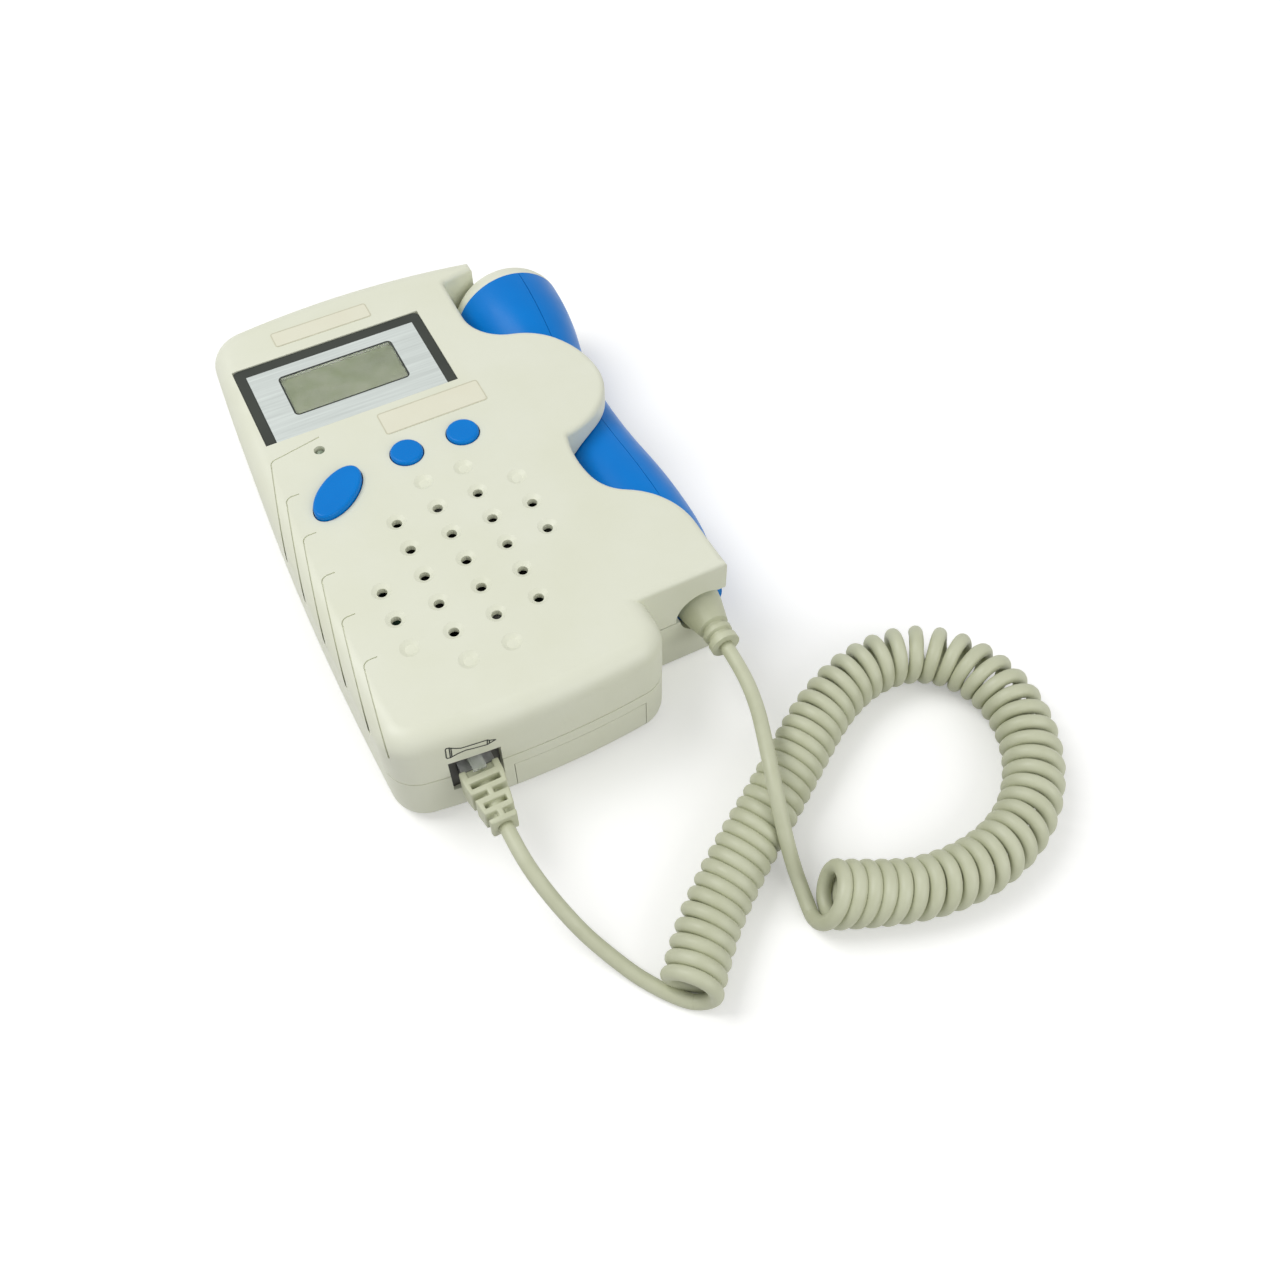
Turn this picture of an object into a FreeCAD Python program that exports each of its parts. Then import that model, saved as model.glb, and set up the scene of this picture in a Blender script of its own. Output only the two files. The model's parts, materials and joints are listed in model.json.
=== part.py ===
"""Pocket fetal doppler: a hand-held unit, a probe cradled in its side, and a curly lead between them.

Frame, in millimetres: +Z out of the face, +Y toward the display end, +X toward the probe's side.
The unit lies on its back on z = 0.
"""
import FreeCAD, Part
import math
import os
import re
from types import SimpleNamespace
from FreeCAD import Placement, Rotation, Vector

# ---------------------------------------------------------------- driving sizes

SIZES = (
    # casing outline: corners and the bulges between them
    ("case_thickness", 31.5), ("parting_height", 16), ("wall", 2.2),
    ("face_round", 5), ("back_round", 4.5), ("wing_round", 1.5),
    ("near_left_x", -34.2), ("near_left_y", -69.2), ("near_mid_x", -2), ("near_mid_y", -72.6),
    ("near_right_x", 30.9), ("near_right_y", -70.6), ("near_corner_round", 8),
    ("left_mid_x", -35.2), ("left_mid_y", 6), ("far_left_x", -31.5), ("far_left_y", 65.9),
    ("far_corner_round", 10), ("far_mid_x", 4), ("far_mid_y", 68.8), ("right_far_x", 28.4), ("right_bulge", 0.3),
    # horn and wing beside the probe
    ("horn_tip_x", 39.2), ("horn_tip_y", 65.2), ("sleeve_end_y", -57.7), ("sleeve_right_x", 51.2),
    ("parting_groove", 0.35),
    # probe
    ("probe_x", 45.5), ("probe_z", 16.5), ("probe_clearance", 0.4), ("probe_wall", 2),
    ("tail_y", -54.8), ("tail_radius", 6.6), ("belly_y", -33.4), ("belly_radius", 11.1), ("grip_y", -11.4),
    ("grip_radius", 10.2), ("waist_y", 9.6), ("waist_radius", 9.1), ("shoulder_y", 33.3),
    ("shoulder_radius", 12.2), ("head_radius", 15), ("head_depth", 3),
    ("cap_y", 53), ("cap_end_y", 60), ("cap_face_radius", 10),
    ("seam_roll", 16), ("seam_gap", 0.2), ("crystal_radius", 9.6), ("crystal_thick", 1.2),
    ("probe_board_width", 13.4), ("probe_board_length", 62), ("probe_board_thick", 1.6),
    ("relief_radius", 5.5), ("relief_neck", 3), ("relief_end_y", -68.5), ("relief_spigot", 3),
    ("tail_notch_radius", 7),
    # display
    ("pocket_depth", 1.2), ("bezel_left", -29.1), ("bezel_right", 20.1), ("bezel_near", 23.2),
    ("bezel_far", 51), ("bezel_side", 2.6), ("bezel_top", 3.3), ("bezel_thick", 0.9),
    ("overlay_thick", 1.15), ("window_left", -19.2), ("window_right", 9.8), ("window_near", 29.9),
    ("window_far", 43.7), ("lens_thick", 0.8), ("fit_gap", 0.06), ("glass_margin", 1.8), ("glass_thick", 1.9),
    # main board
    ("board_left", -25), ("board_right", 21), ("board_near", -67.8), ("board_far", 54),
    ("board_under", 21.3), ("board_thick", 1.6), ("post_radius", 2.4), ("post_left_x", -21.5),
    ("post_right_x", 17), ("post_near_left_y", -50), ("post_near_right_y", -64), ("post_far_y", 50.8),
    ("board_screw_radius", 0.9), ("board_screw_head", 1.9), ("board_screw_head_height", 1.4),
    ("board_screw_length", 6),
    # buttons and their switches
    ("power_x", -19), ("power_y", 1), ("power_half_long", 8.4), ("power_half_short", 4.4),
    ("power_turn", 42), ("volume_down_x", -0.2), ("volume_up_x", 14.1), ("volume_y", 5.7),
    ("volume_radius", 3.9), ("button_gap", 0.25), ("power_rise", 1.5), ("volume_rise", 1.0),
    ("button_flange", 0.9), ("flange_thick", 0.8), ("button_round", 0.7), ("button_travel", 0.7),
    ("switch_side", 6), ("switch_height", 3.5), ("plunger_radius", 1.75), ("plunger_rise", 0.9),
    ("plunger_sunk", 1), ("led_x", -18.3), ("led_y", 16.2), ("led_radius", 1.2),
    # speaker and its grille
    ("speaker_x", 0), ("speaker_y", -30), ("speaker_radius", 18), ("speaker_top", 28.6),
    ("magnet_radius", 7.5), ("magnet_height", 1.7), ("hole_pitch_x", 10),
    ("hole_pitch_y", 8.5), ("hole_radius", 1.2), ("dish_radius", 2.35), ("dish_depth", 0.7),
    # grip scales on the left edge
    ("scale_count", 6), ("scale_pitch", 12.8), ("scale_first_y", 18.1), ("scale_run", 27),
    ("scale_groove", 0.3), ("scale_bend", 1.8), ("scale_hook", 1.4), ("crease_length", 11), ("crease_rise", 2.2),
    # batteries and their door
    ("cell_radius", 7.15), ("cell_length", 49.5), ("cell_nub_radius", 2.7), ("cell_nub", 1),
    ("cell_gap", 0.25), ("bay_left", -8), ("bay_right", 23), ("bay_wall", 1.4), ("spring_length", 2.1),
    ("contact_thick", 0.4), ("bay_near", -68.9), ("tab_height", 12.3), ("tab_inner_y", -70.1),
    ("door_lap", 0.8), ("door_gap", 0.15), ("door_thick", 2),
    # case screws
    ("boss_radius", 3.4), ("screw_radius", 1.1), ("screw_head_radius", 2.2), ("screw_head_height", 1.6),
    ("screw_seat", 6), ("screw_length", 17),
    # jack and plug
    ("jack_x", -16.8), ("jack_width", 11.4), ("jack_bottom", 10.2), ("jack_front", -70.2),
    ("jack_back", -57.5), ("plug_width", 7.65), ("plug_height", 6.4), ("plug_bottom", 12.5),
    ("plug_nose", -59.8), ("plug_tail", -73), ("plug_gap", 0.15), ("latch_width", 3),
    ("latch_thick", 0.8), ("latch_rise", 1), ("latch_tail", -74.5), ("pin_radius", 0.18),
    ("pin_pitch", 1.2), ("boot_end", -86.8), ("boot_width", 9), ("boot_height", 7.6), ("boot_end_width", 5.8),
    ("boot_collar", 3.4), ("boot_slots", 4), ("boot_bridge", 1.2), ("boot_core", 0.7),
    # cord
    ("cord_diameter", 3.3), ("coil_diameter", 13.7),
)

doc = FreeCAD.newDocument("fetal_doppler")
sheet = doc.addObject("Spreadsheet::Sheet", "Sizes")
for row, (alias, value) in enumerate(SIZES, start=1):
    sheet.set("A%d" % row, alias)
    sheet.set("B%d" % row, "%g" % value)
    sheet.setAlias("B%d" % row, alias)
doc.recompute()
dim = SimpleNamespace(**{alias: float(sheet.get(alias)) for alias, _ in SIZES})
ALIASES = {alias for alias, _ in SIZES}

# The wing's edge beside the probe, as (across from the probe's axis, along it): the ends of arcs that run into
# each other, past the sleeve, the corner of the window, the lobe and the recess to the root of the horn.
WING_EDGE = ((5.3, -44.1), (-4.3, -27.7), (-9.7, -20.4), (-9.4, -6.7), (-8.43, -5.83), (2.7, 0), (7.3, 12.1),
             (2.6, 26), (-6.8, 32.6), (-15.4, 43.9), (-15.1, 57.6), (-14.12, 58.73))
# the directions in which the wing's edge and the probe's side set off, in degrees from +X
WING_START = 92.9
PROBE_START = 67.9
# the case screws, as (across, along) from the corners of the hand-held block
SCREW_PLACES = ((5.6, 12.8), (-4, 7), (4.4, -8.6), (-4.6, -6.8))

# the speaker grille, row by row from the far end: holes, and dishes that are left blind
GRILLE = ("  .. ",
          " ooo.",
          " oooo",
          "ooooo",
          "oooo ",
          ".ooo ",
          " ..  ")

UP = Vector(0, 0, 1)
ALONG = Vector(0, 1, 0)
ACROSS = Vector(1, 0, 0)
LONG = 400

# ---------------------------------------------------------------- helpers

nodes = []


def node(item, label):
    """Marks a document object as a finished sub-part."""
    item.Label = label
    nodes.append(item)
    return item


def shaped(label, shape):
    """A finished sub-part whose form no standard feature gives."""
    item = doc.addObject("Part::Feature", label)
    item.Shape = shape
    return node(item, label)


def linked(formula):
    """Writes the sheet's name before each of its aliases."""
    return re.sub(r"[a-z_]+", lambda word: "Sizes." + word[0] if word[0] in ALIASES else word[0], formula)


def bind(item, **formulas):
    for name, formula in formulas.items():
        item.setExpression(name, linked(formula))


def place(item, x, y, z, turn=None):
    if turn:
        item.Placement = Placement(Vector(), turn)
    for axis, formula in (("x", x), ("y", y), ("z", z)):
        item.setExpression("Placement.Base." + axis, linked(formula))
    return item


def box(name, x, y, z, length, width, height):
    item = doc.addObject("Part::Box", name)
    bind(item, Length=length, Width=width, Height=height)
    return place(item, x, y, z)


def rod(name, x, y, z, radius, height, turn=None):
    item = doc.addObject("Part::Cylinder", name)
    bind(item, Radius=radius, Height=height)
    return place(item, x, y, z, turn)


def cut(name, base, tool):
    item = doc.addObject("Part::Cut", name)
    item.Base = base
    item.Tool = tool
    return item


def fuse(name, *parts):
    item = doc.addObject("Part::MultiFuse", name)
    item.Shapes = list(parts)
    return item


def block(x_low, x_high, y_low, y_high, z_low, z_high):
    return Part.makeBox(x_high - x_low, y_high - y_low, z_high - z_low, Vector(x_low, y_low, z_low))


def pin(radius, start, direction, length):
    return Part.makeCylinder(radius, length, start, direction)


def line(start, end):
    return Part.makeLine(start, end)


def arcs(points, degrees):
    """Arcs through the points, each setting off in the direction in which the last one arrives."""
    heading = math.radians(degrees)
    edges = []
    for start, end in zip(points, points[1:]):
        chord = end - start
        turn = math.atan2(chord.y, chord.x) - heading
        turn = math.atan2(math.sin(turn), math.cos(turn))
        middle = (start + end) * 0.5 + Vector(chord.y, -chord.x, 0) * 0.5 * math.tan(turn / 2)
        edges.append(Part.Arc(start, middle, end).toShape())
        heading += 2 * turn
    return edges


def outline(corners):
    """Straight edges from corner to corner and back to the first."""
    return [line(start, end) for start, end in zip(corners, corners[1:] + corners[:1])]


def prism(edges, low, high):
    face = Part.Face(Part.Wire(edges))
    solid = face.extrude(Vector(0, 0, high - low))
    solid.translate(Vector(0, 0, low))
    return solid


def lathe(edges, centre, axis, degrees=360):
    face = Part.Face(Part.Wire(edges))
    return face.revolve(centre, axis, degrees)


def rim(solid, height):
    """The edges of a prism that lie in the plane at this height."""
    return [edge for edge in solid.Edges
            if abs(edge.BoundBox.ZMin - height) < 1e-6 and abs(edge.BoundBox.ZMax - height) < 1e-6]


# ---------------------------------------------------------------- casing

def circle_through(*points):
    return Part.Circle(*[Vector(x, y, 0) for x, y in points])


def flat_direction(start, end):
    direction = end - start
    direction.normalize()
    return direction


far_circle = circle_through((dim.far_left_x, dim.far_left_y), (dim.far_mid_x, dim.far_mid_y),
                            (dim.horn_tip_x, dim.horn_tip_y))


def on_far_end(x):
    """The point of the far end's arc at this x."""
    centre = far_circle.Center
    return Vector(x, centre.y + math.sqrt(far_circle.Radius ** 2 - (x - centre.x) ** 2), 0)


def far_end_edge(x_start, x_end):
    middle = on_far_end((x_start + x_end) / 2)
    return Part.Arc(on_far_end(x_start), middle, on_far_end(x_end)).toShape()


def case_corners():
    """The sharp corners of the hand-held block and their rounding, in order round the block."""
    far_left = on_far_end(dim.far_left_x)
    near_left = Vector(dim.near_left_x, dim.near_left_y, 0)
    near_right = Vector(dim.near_right_x, dim.near_right_y, 0)
    far_right = on_far_end(dim.right_far_x)
    return ((far_left, dim.far_corner_round), (near_left, dim.near_corner_round),
            (near_right, dim.near_corner_round), (far_right, dim.face_round + 1))


def left_circle():
    return circle_through((dim.far_left_x, dim.far_left_y), (dim.left_mid_x, dim.left_mid_y),
                          (dim.near_left_x, dim.near_left_y))


def case_sides():
    """The bulged side that starts at each corner, as a circle."""
    far_right = on_far_end(dim.right_far_x)
    right_mid = ((dim.near_right_x + far_right.x) / 2 + dim.right_bulge, (dim.near_right_y + far_right.y) / 2)
    near = circle_through((dim.near_left_x, dim.near_left_y), (dim.near_mid_x, dim.near_mid_y),
                          (dim.near_right_x, dim.near_right_y))
    right = circle_through((dim.near_right_x, dim.near_right_y), right_mid, (far_right.x, far_right.y))
    return (left_circle(), near, right, far_circle)


def corner_centre(corner, radius, before, after):
    """The centre of the arc that rounds a corner between two circles, from inside both."""
    first = Part.Circle(before.Center, UP, before.Radius - radius)
    second = Part.Circle(after.Center, UP, after.Radius - radius)
    meetings = [Vector(point.X, point.Y, 0) for point in first.intersect(second)]
    return min(meetings, key=lambda point: point.distanceToPoint(corner))


def bulged_arc(centre, radius, start, end):
    """The arc about the centre between the directions of two points."""
    first = flat_direction(centre, start)
    last = flat_direction(centre, end)
    middle = flat_direction(Vector(), first + last)
    return Part.Arc(centre + first * radius, centre + middle * radius, centre + last * radius).toShape()


def main_outline(inset=0):
    """The hand-held block seen from its face, this far inside its wall."""
    corners = case_corners()
    sides = case_sides()
    centres = [corner_centre(corner, radius, sides[index - 1], sides[index])
               for index, (corner, radius) in enumerate(corners)]
    edges = []
    for index, (corner, radius) in enumerate(corners):
        before = sides[index - 1]
        after = sides[index]
        centre = centres[index]
        following = centres[(index + 1) % len(corners)]
        turn_start = before.Center + flat_direction(before.Center, centre) * before.Radius
        turn_end = after.Center + flat_direction(after.Center, centre) * after.Radius
        edges.append(bulged_arc(centre, radius - inset, turn_start, turn_end))
        edges.append(bulged_arc(after.Center, after.Radius - inset, centre, following))
    return edges


def inner_block(inset, low, high):
    return prism(main_outline(inset), low, high)


def rounded_block(inset=0):
    """The hand-held block, its face and back edges rounded, this far inside its skin."""
    low = inset
    high = dim.case_thickness - inset
    solid = inner_block(inset, low, high)
    solid = solid.makeFillet(dim.face_round - inset, rim(solid, high))
    return solid.makeFillet(dim.back_round - inset, rim(solid, low))


def beside_probe(points):
    return [Vector(dim.probe_x + across, along, 0) for across, along in points]


def wing_block():
    """The sleeve, window, lobe, head recess and horn that wrap the probe."""
    inner_x = dim.far_mid_x
    end_left = Vector(inner_x, dim.sleeve_end_y, 0)
    end_right = Vector(dim.sleeve_right_x, dim.sleeve_end_y, 0)
    wing_edge = arcs([end_right] + beside_probe(WING_EDGE), WING_START)
    horn_root = wing_edge[-1].valueAt(wing_edge[-1].LastParameter)
    heading = wing_edge[-1].tangentAt(wing_edge[-1].LastParameter)
    horn_inner = horn_root + heading * ((dim.horn_tip_x - horn_root.x) / heading.x)
    horn_tip = on_far_end(dim.horn_tip_x)
    far_inner = on_far_end(inner_x)
    edges = [line(end_left, end_right)] + wing_edge + [line(horn_root, horn_inner), line(horn_inner, horn_tip)]
    edges += [far_end_edge(dim.horn_tip_x, inner_x), line(far_inner, end_left)]
    solid = prism(edges, 0, dim.case_thickness)
    for height in (dim.case_thickness, 0):
        soft = [edge for edge in rim(solid, height) if edge.BoundBox.XMax > inner_x + 1
                and not (edge.BoundBox.YMin > horn_inner.y and edge.BoundBox.XMin < horn_root.x)]
        solid = solid.makeFillet(dim.wing_round, soft)
    return solid.common(far_end_pillow())


def far_end_pillow():
    """A block far larger than the wing, with the far end's rounded edges."""
    left = dim.far_mid_x - LONG / 8
    right = dim.probe_x + LONG / 8
    near = dim.near_mid_y - LONG / 8
    edges = [far_end_edge(left, right), line(on_far_end(right), Vector(right, near, 0)),
             line(Vector(right, near, 0), Vector(left, near, 0)), line(Vector(left, near, 0), on_far_end(left))]
    solid = prism(edges, 0, dim.case_thickness)
    for height, radius in ((dim.case_thickness, dim.face_round), (0, dim.back_round)):
        far_edge = [edge for edge in rim(solid, height) if edge.BoundBox.YMin > 0 and edge.BoundBox.XLength > 1]
        solid = solid.makeFillet(radius, far_edge)
    return solid


def probe_profile(grow=0):
    """The probe's radius along its axis, as points in the plane through the axis."""
    stations = ((dim.tail_y, dim.tail_radius), (dim.belly_y, dim.belly_radius), (dim.grip_y, dim.grip_radius),
                (dim.waist_y, dim.waist_radius), (dim.shoulder_y, dim.shoulder_radius), (dim.cap_y, dim.head_radius))
    return [Vector(dim.probe_x + radius + grow, y, dim.probe_z) for y, radius in stations]


def probe_curve(grow=0):
    """The probe's side, from tail to cap."""
    return arcs(probe_profile(grow), PROBE_START)


def cap_arc(grow=0):
    """The rounded shoulder of the transducer cap, from the shells to its flat face."""
    start = Vector(dim.probe_x + dim.head_radius + grow, dim.cap_y, dim.probe_z)
    end = Vector(dim.probe_x + dim.cap_face_radius + grow, dim.cap_end_y + grow, dim.probe_z)
    bulge = 0.22 * (dim.head_radius - dim.cap_face_radius)
    middle = (start + end) * 0.5 + Vector(bulge, bulge * 0.8, 0)
    return Part.Arc(start, middle, end).toShape()


def probe_outline_edges(grow):
    """Closed half outline of the probe, from its axis outward, with this much clearance."""
    start = Vector(dim.probe_x, dim.tail_y - grow, dim.probe_z)
    tail = Vector(dim.probe_x + dim.tail_radius + grow, dim.tail_y - grow, dim.probe_z)
    tail_side = Vector(dim.probe_x + dim.tail_radius + grow, dim.tail_y, dim.probe_z)
    shoulder = cap_arc(grow)
    face_edge = Vector(dim.probe_x + dim.cap_face_radius + grow, dim.cap_end_y + grow, dim.probe_z)
    face = Vector(dim.probe_x, dim.cap_end_y + grow, dim.probe_z)
    return [line(start, tail), line(tail, tail_side)] + probe_curve(grow) + [shoulder, line(face_edge, face),
                                                                              line(face, start)]


def probe_envelope():
    """The space the probe needs: its own form, and the way out toward +X."""
    grow = dim.probe_clearance
    edges = probe_outline_edges(grow)
    centre = Vector(dim.probe_x, 0, dim.probe_z)
    body = lathe(edges, centre, ALONG)
    half = Part.Face(Part.Wire(edges))
    half.rotate(centre, ALONG, -90)
    other = half.copy()
    other.rotate(centre, ALONG, 180)
    way_out = [side.extrude(Vector(LONG / 10, 0, 0)) for side in (half, other)]
    return [body] + way_out


def tail_notch():
    """The hole in the sleeve's end wall round the strain relief, open toward +X."""
    y_low = dim.sleeve_end_y - 1
    y_high = dim.tail_y + 1
    slot = dim.relief_radius + dim.probe_clearance
    centre = Vector(dim.probe_x, y_low, dim.probe_z)
    front = pin(dim.tail_notch_radius, centre, ALONG, y_high - y_low)
    front = front.common(block(0, LONG, y_low, y_high, dim.parting_height, LONG))
    rear = pin(slot, centre, ALONG, y_high - y_low)
    way = block(dim.probe_x, dim.probe_x + LONG / 10, y_low, y_high, dim.probe_z - slot, dim.probe_z + slot)
    return [front, rear, way]


def grille_spots(marks):
    """The places on the face of the grille's dishes that have one of these marks."""
    left = dim.speaker_x - dim.hole_pitch_x * (len(GRILLE[0]) - 1) / 2
    far = dim.speaker_y + dim.hole_pitch_y * (len(GRILLE) - 1) / 2
    return [Vector(left + column * dim.hole_pitch_x, far - row * dim.hole_pitch_y, dim.case_thickness)
            for row, pattern in enumerate(GRILLE) for column, mark in enumerate(pattern) if mark in marks]


def grille_cuts():
    """Dished speaker holes, and the same dishes left blind at the ends of the pattern."""
    dishes = [Part.makeCone(dim.hole_radius, dim.dish_radius, dim.dish_depth, spot - UP * dim.dish_depth)
              for spot in grille_spots("o.")]
    return dishes + [pin(dim.hole_radius, spot - UP * 2 * dim.wall, UP, 3 * dim.wall)
                     for spot in grille_spots("o")]


def display_cuts():
    """The pocket for bezel and overlay, and the opening over the LCD glass."""
    floor = dim.case_thickness - dim.pocket_depth
    gap = dim.fit_gap
    pocket = block(dim.bezel_left - gap, dim.bezel_right + gap, dim.bezel_near - gap, dim.bezel_far + gap,
                   floor, LONG)
    margin = dim.glass_margin + 2 * gap
    opening = block(dim.window_left - margin, dim.window_right + margin, dim.window_near - margin,
                    dim.window_far + margin, dim.case_thickness - 2 * dim.wall, LONG)
    return [pocket, opening]


def button_spots():
    return (("power", Vector(dim.power_x, dim.power_y, 0)),
            ("volume_down", Vector(dim.volume_down_x, dim.volume_y, 0)),
            ("volume_up", Vector(dim.volume_up_x, dim.volume_y, 0)))


def button_prism(name, spot, grow, low, high):
    """An upright prism of a button's outline, this much larger all round."""
    if name == "power":
        oval = Part.Ellipse(spot, dim.power_half_long + grow, dim.power_half_short + grow)
        edge = oval.toShape()
        edge.rotate(spot, UP, dim.power_turn)
    else:
        edge = Part.Circle(spot, UP, dim.volume_radius + grow).toShape()
    return prism([edge], low, high)


def button_cuts():
    low = dim.case_thickness - 2 * dim.wall
    cuts = [button_prism(name, spot, dim.button_gap, low, LONG) for name, spot in button_spots()]
    cuts.append(pin(dim.led_radius + dim.button_gap / 2, Vector(dim.led_x, dim.led_y, low), UP, 3 * dim.wall))
    return cuts


def left_wall_x(y):
    """Where the left wall stands at this y."""
    circle = left_circle()
    return circle.Center.x - math.sqrt(circle.Radius ** 2 - (y - circle.Center.y) ** 2)


def thin_wall(start, end, low, high):
    """An upright wall, as thick as a scale's groove is wide, between two points."""
    along = flat_direction(start, end)
    side = Vector(-along.y, along.x, 0) * (dim.scale_groove / 2)
    corners = [start - side, end - side, end + side, start + side]
    return prism(outline(corners), low, high)


def scale_wall(top_y, face_end):
    """The line round one grip scale, as an upright wall: from the face round a bend and down over the edge."""
    low = dim.case_thickness - dim.face_round - 1
    high = dim.case_thickness + 1
    bend = dim.scale_bend
    corner_x = left_wall_x(top_y) + dim.face_round - dim.scale_groove
    centre = Vector(corner_x + bend, top_y - bend, low)
    half = dim.scale_groove / 2
    ring = pin(bend + half, centre, UP, high - low).cut(pin(bend - half, centre, UP, high - low))
    ring = ring.common(block(corner_x - 1, centre.x, centre.y, top_y + 1, low, high))
    top = Vector(centre.x, top_y, 0)
    wall_y = top_y - dim.scale_run
    fall = thin_wall(Vector(corner_x, centre.y, 0), Vector(left_wall_x(wall_y) - half, wall_y, 0), low, high)
    return ring.fuse([thin_wall(top, face_end, low, high), fall])


def scale_grooves():
    """The lines of the overlapping grip scales; the first one runs on across the face to the lamp."""
    walls = []
    for index in range(int(dim.scale_count)):
        top_y = dim.scale_first_y - index * dim.scale_pitch
        reach = dim.scale_hook if index else dim.crease_length
        rise = 0 if index else dim.crease_rise
        top_x = left_wall_x(top_y) + dim.face_round + dim.scale_bend
        walls.append(scale_wall(top_y, Vector(top_x + reach, top_y + rise, 0)))
    core = rounded_block(dim.scale_groove)
    return [wall.cut(core) for wall in walls]


def parting_cut():
    """The fine shadow line where the two shells meet."""
    half = dim.parting_groove / 2
    low = dim.parting_height - half
    high = dim.parting_height + half
    slab = block(-LONG / 4, LONG / 4, -LONG / 4, LONG / 4, low, high)
    return slab.cut(inner_block(dim.parting_groove, low - 1, high + 1))


def post_spots():
    """Where the board is screwed to the front shell."""
    return (Vector(dim.post_left_x, dim.post_near_left_y, 0), Vector(dim.post_right_x, dim.post_near_right_y, 0),
            Vector(dim.post_left_x, dim.post_far_y, 0), Vector(dim.post_right_x, dim.post_far_y, 0))


def screw_spots():
    """Where the rear shell is screwed to the front shell."""
    corners = ((dim.near_left_x, dim.near_left_y), (dim.near_right_x, dim.near_right_y),
               (dim.far_left_x, dim.far_left_y), (dim.right_far_x, dim.far_left_y))
    return [Vector(x + across, y + along, 0) for (x, y), (across, along) in zip(corners, SCREW_PLACES)]


def hollow_casing():
    solid = rounded_block().fuse(wing_block()).removeSplitter()
    solid = solid.cut(probe_envelope() + tail_notch())
    cavity = inner_block(dim.wall, dim.wall, dim.case_thickness - dim.wall)
    return solid.cut(cavity)


def jack_cut():
    """The square port in the near end wall."""
    half = dim.jack_width / 2 + dim.fit_gap
    return block(dim.jack_x - half, dim.jack_x + half, -LONG, dim.jack_front + 2 * dim.wall,
                 dim.jack_bottom - dim.fit_gap, dim.board_under)


def front_shell(casing):
    half = casing.common(block(-LONG, LONG, -LONG, LONG, dim.parting_height, LONG))
    ceiling = dim.case_thickness - dim.wall
    board_top = dim.board_under + dim.board_thick
    posts = [pin(dim.post_radius, spot + UP * board_top, UP, ceiling - board_top + 0.2) for spot in post_spots()]
    bosses = [pin(dim.boss_radius - 0.4, spot + UP * dim.parting_height, UP, ceiling - dim.parting_height + 0.2)
              for spot in screw_spots()]
    half = half.fuse(posts + bosses)
    holes = [pin(dim.board_screw_radius + 0.05, spot + UP * (board_top - 1), UP, dim.board_screw_length - 0.4)
             for spot in post_spots()]
    screw_tip = dim.screw_seat + dim.screw_length
    holes += [pin(dim.screw_radius + 0.05, spot + UP * (dim.parting_height - 1), UP,
                  screw_tip + 1.5 - dim.parting_height) for spot in screw_spots()]
    half = half.cut(holes + display_cuts() + button_cuts() + [jack_cut()])
    half = half.cut(grille_cuts() + [bay_block(dim.door_gap)])
    return half.cut(scale_grooves() + [parting_cut()])


def bay_far():
    """The far wall of the battery bay: cells, springs and contacts end to end."""
    return dim.bay_near + 2 * dim.contact_thick + dim.spring_length + dim.cell_length + dim.cell_nub


def cell_height():
    return dim.wall + dim.cell_gap + dim.cell_radius


def bay_top():
    return cell_height() + dim.cell_radius + dim.cell_gap


def bay_block(grow):
    """The outside of the battery bay, this much larger all round."""
    wall = dim.bay_wall + grow
    return block(dim.bay_left - dim.wall - grow, dim.bay_right + wall, dim.bay_near - 1 - grow, bay_far() + wall,
                 0, bay_top() + wall)


def door_region(gap):
    """The L-shaped stretch of the casing that the battery door fills, less this gap."""
    left = dim.bay_left - dim.door_lap + gap
    right = dim.bay_right + dim.door_lap - gap
    top = dim.door_thick if gap else dim.wall
    plate = block(left, right, -LONG, bay_far() + dim.door_lap - gap, -1, top)
    tab = block(left, right, -LONG, dim.tab_inner_y - gap, -1, dim.tab_height - gap)
    return plate.fuse(tab)


def rear_shell(casing):
    half = casing.common(block(-LONG, LONG, -LONG, LONG, -1, dim.parting_height))
    half = half.cut(jack_cut())
    bay_outer = bay_block(0).common(block(-LONG, LONG, -LONG, LONG, dim.wall, LONG))
    bay_inner = block(dim.bay_left, dim.bay_right, dim.bay_near, bay_far(), -1, bay_top())
    bosses = [pin(dim.boss_radius, spot + UP * (dim.wall - 1), UP, dim.parting_height - dim.wall + 1)
              for spot in screw_spots()]
    half = half.fuse([bay_outer.cut(bay_inner)] + bosses)
    holes = [pin(dim.screw_radius + 0.2, spot, UP, dim.parting_height) for spot in screw_spots()]
    holes += [pin(dim.screw_head_radius + 0.3, spot - UP, UP, dim.screw_seat + 1) for spot in screw_spots()]
    half = half.cut(holes + [bay_inner, door_region(0)])
    return half.cut(parting_cut())


def battery_door():
    return rounded_block().common(door_region(dim.door_gap))


def build_casing():
    casing = hollow_casing()
    shaped("front_shell", front_shell(casing))
    shaped("rear_shell", rear_shell(casing))
    shaped("battery_door", battery_door())


# ---------------------------------------------------------------- display

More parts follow.
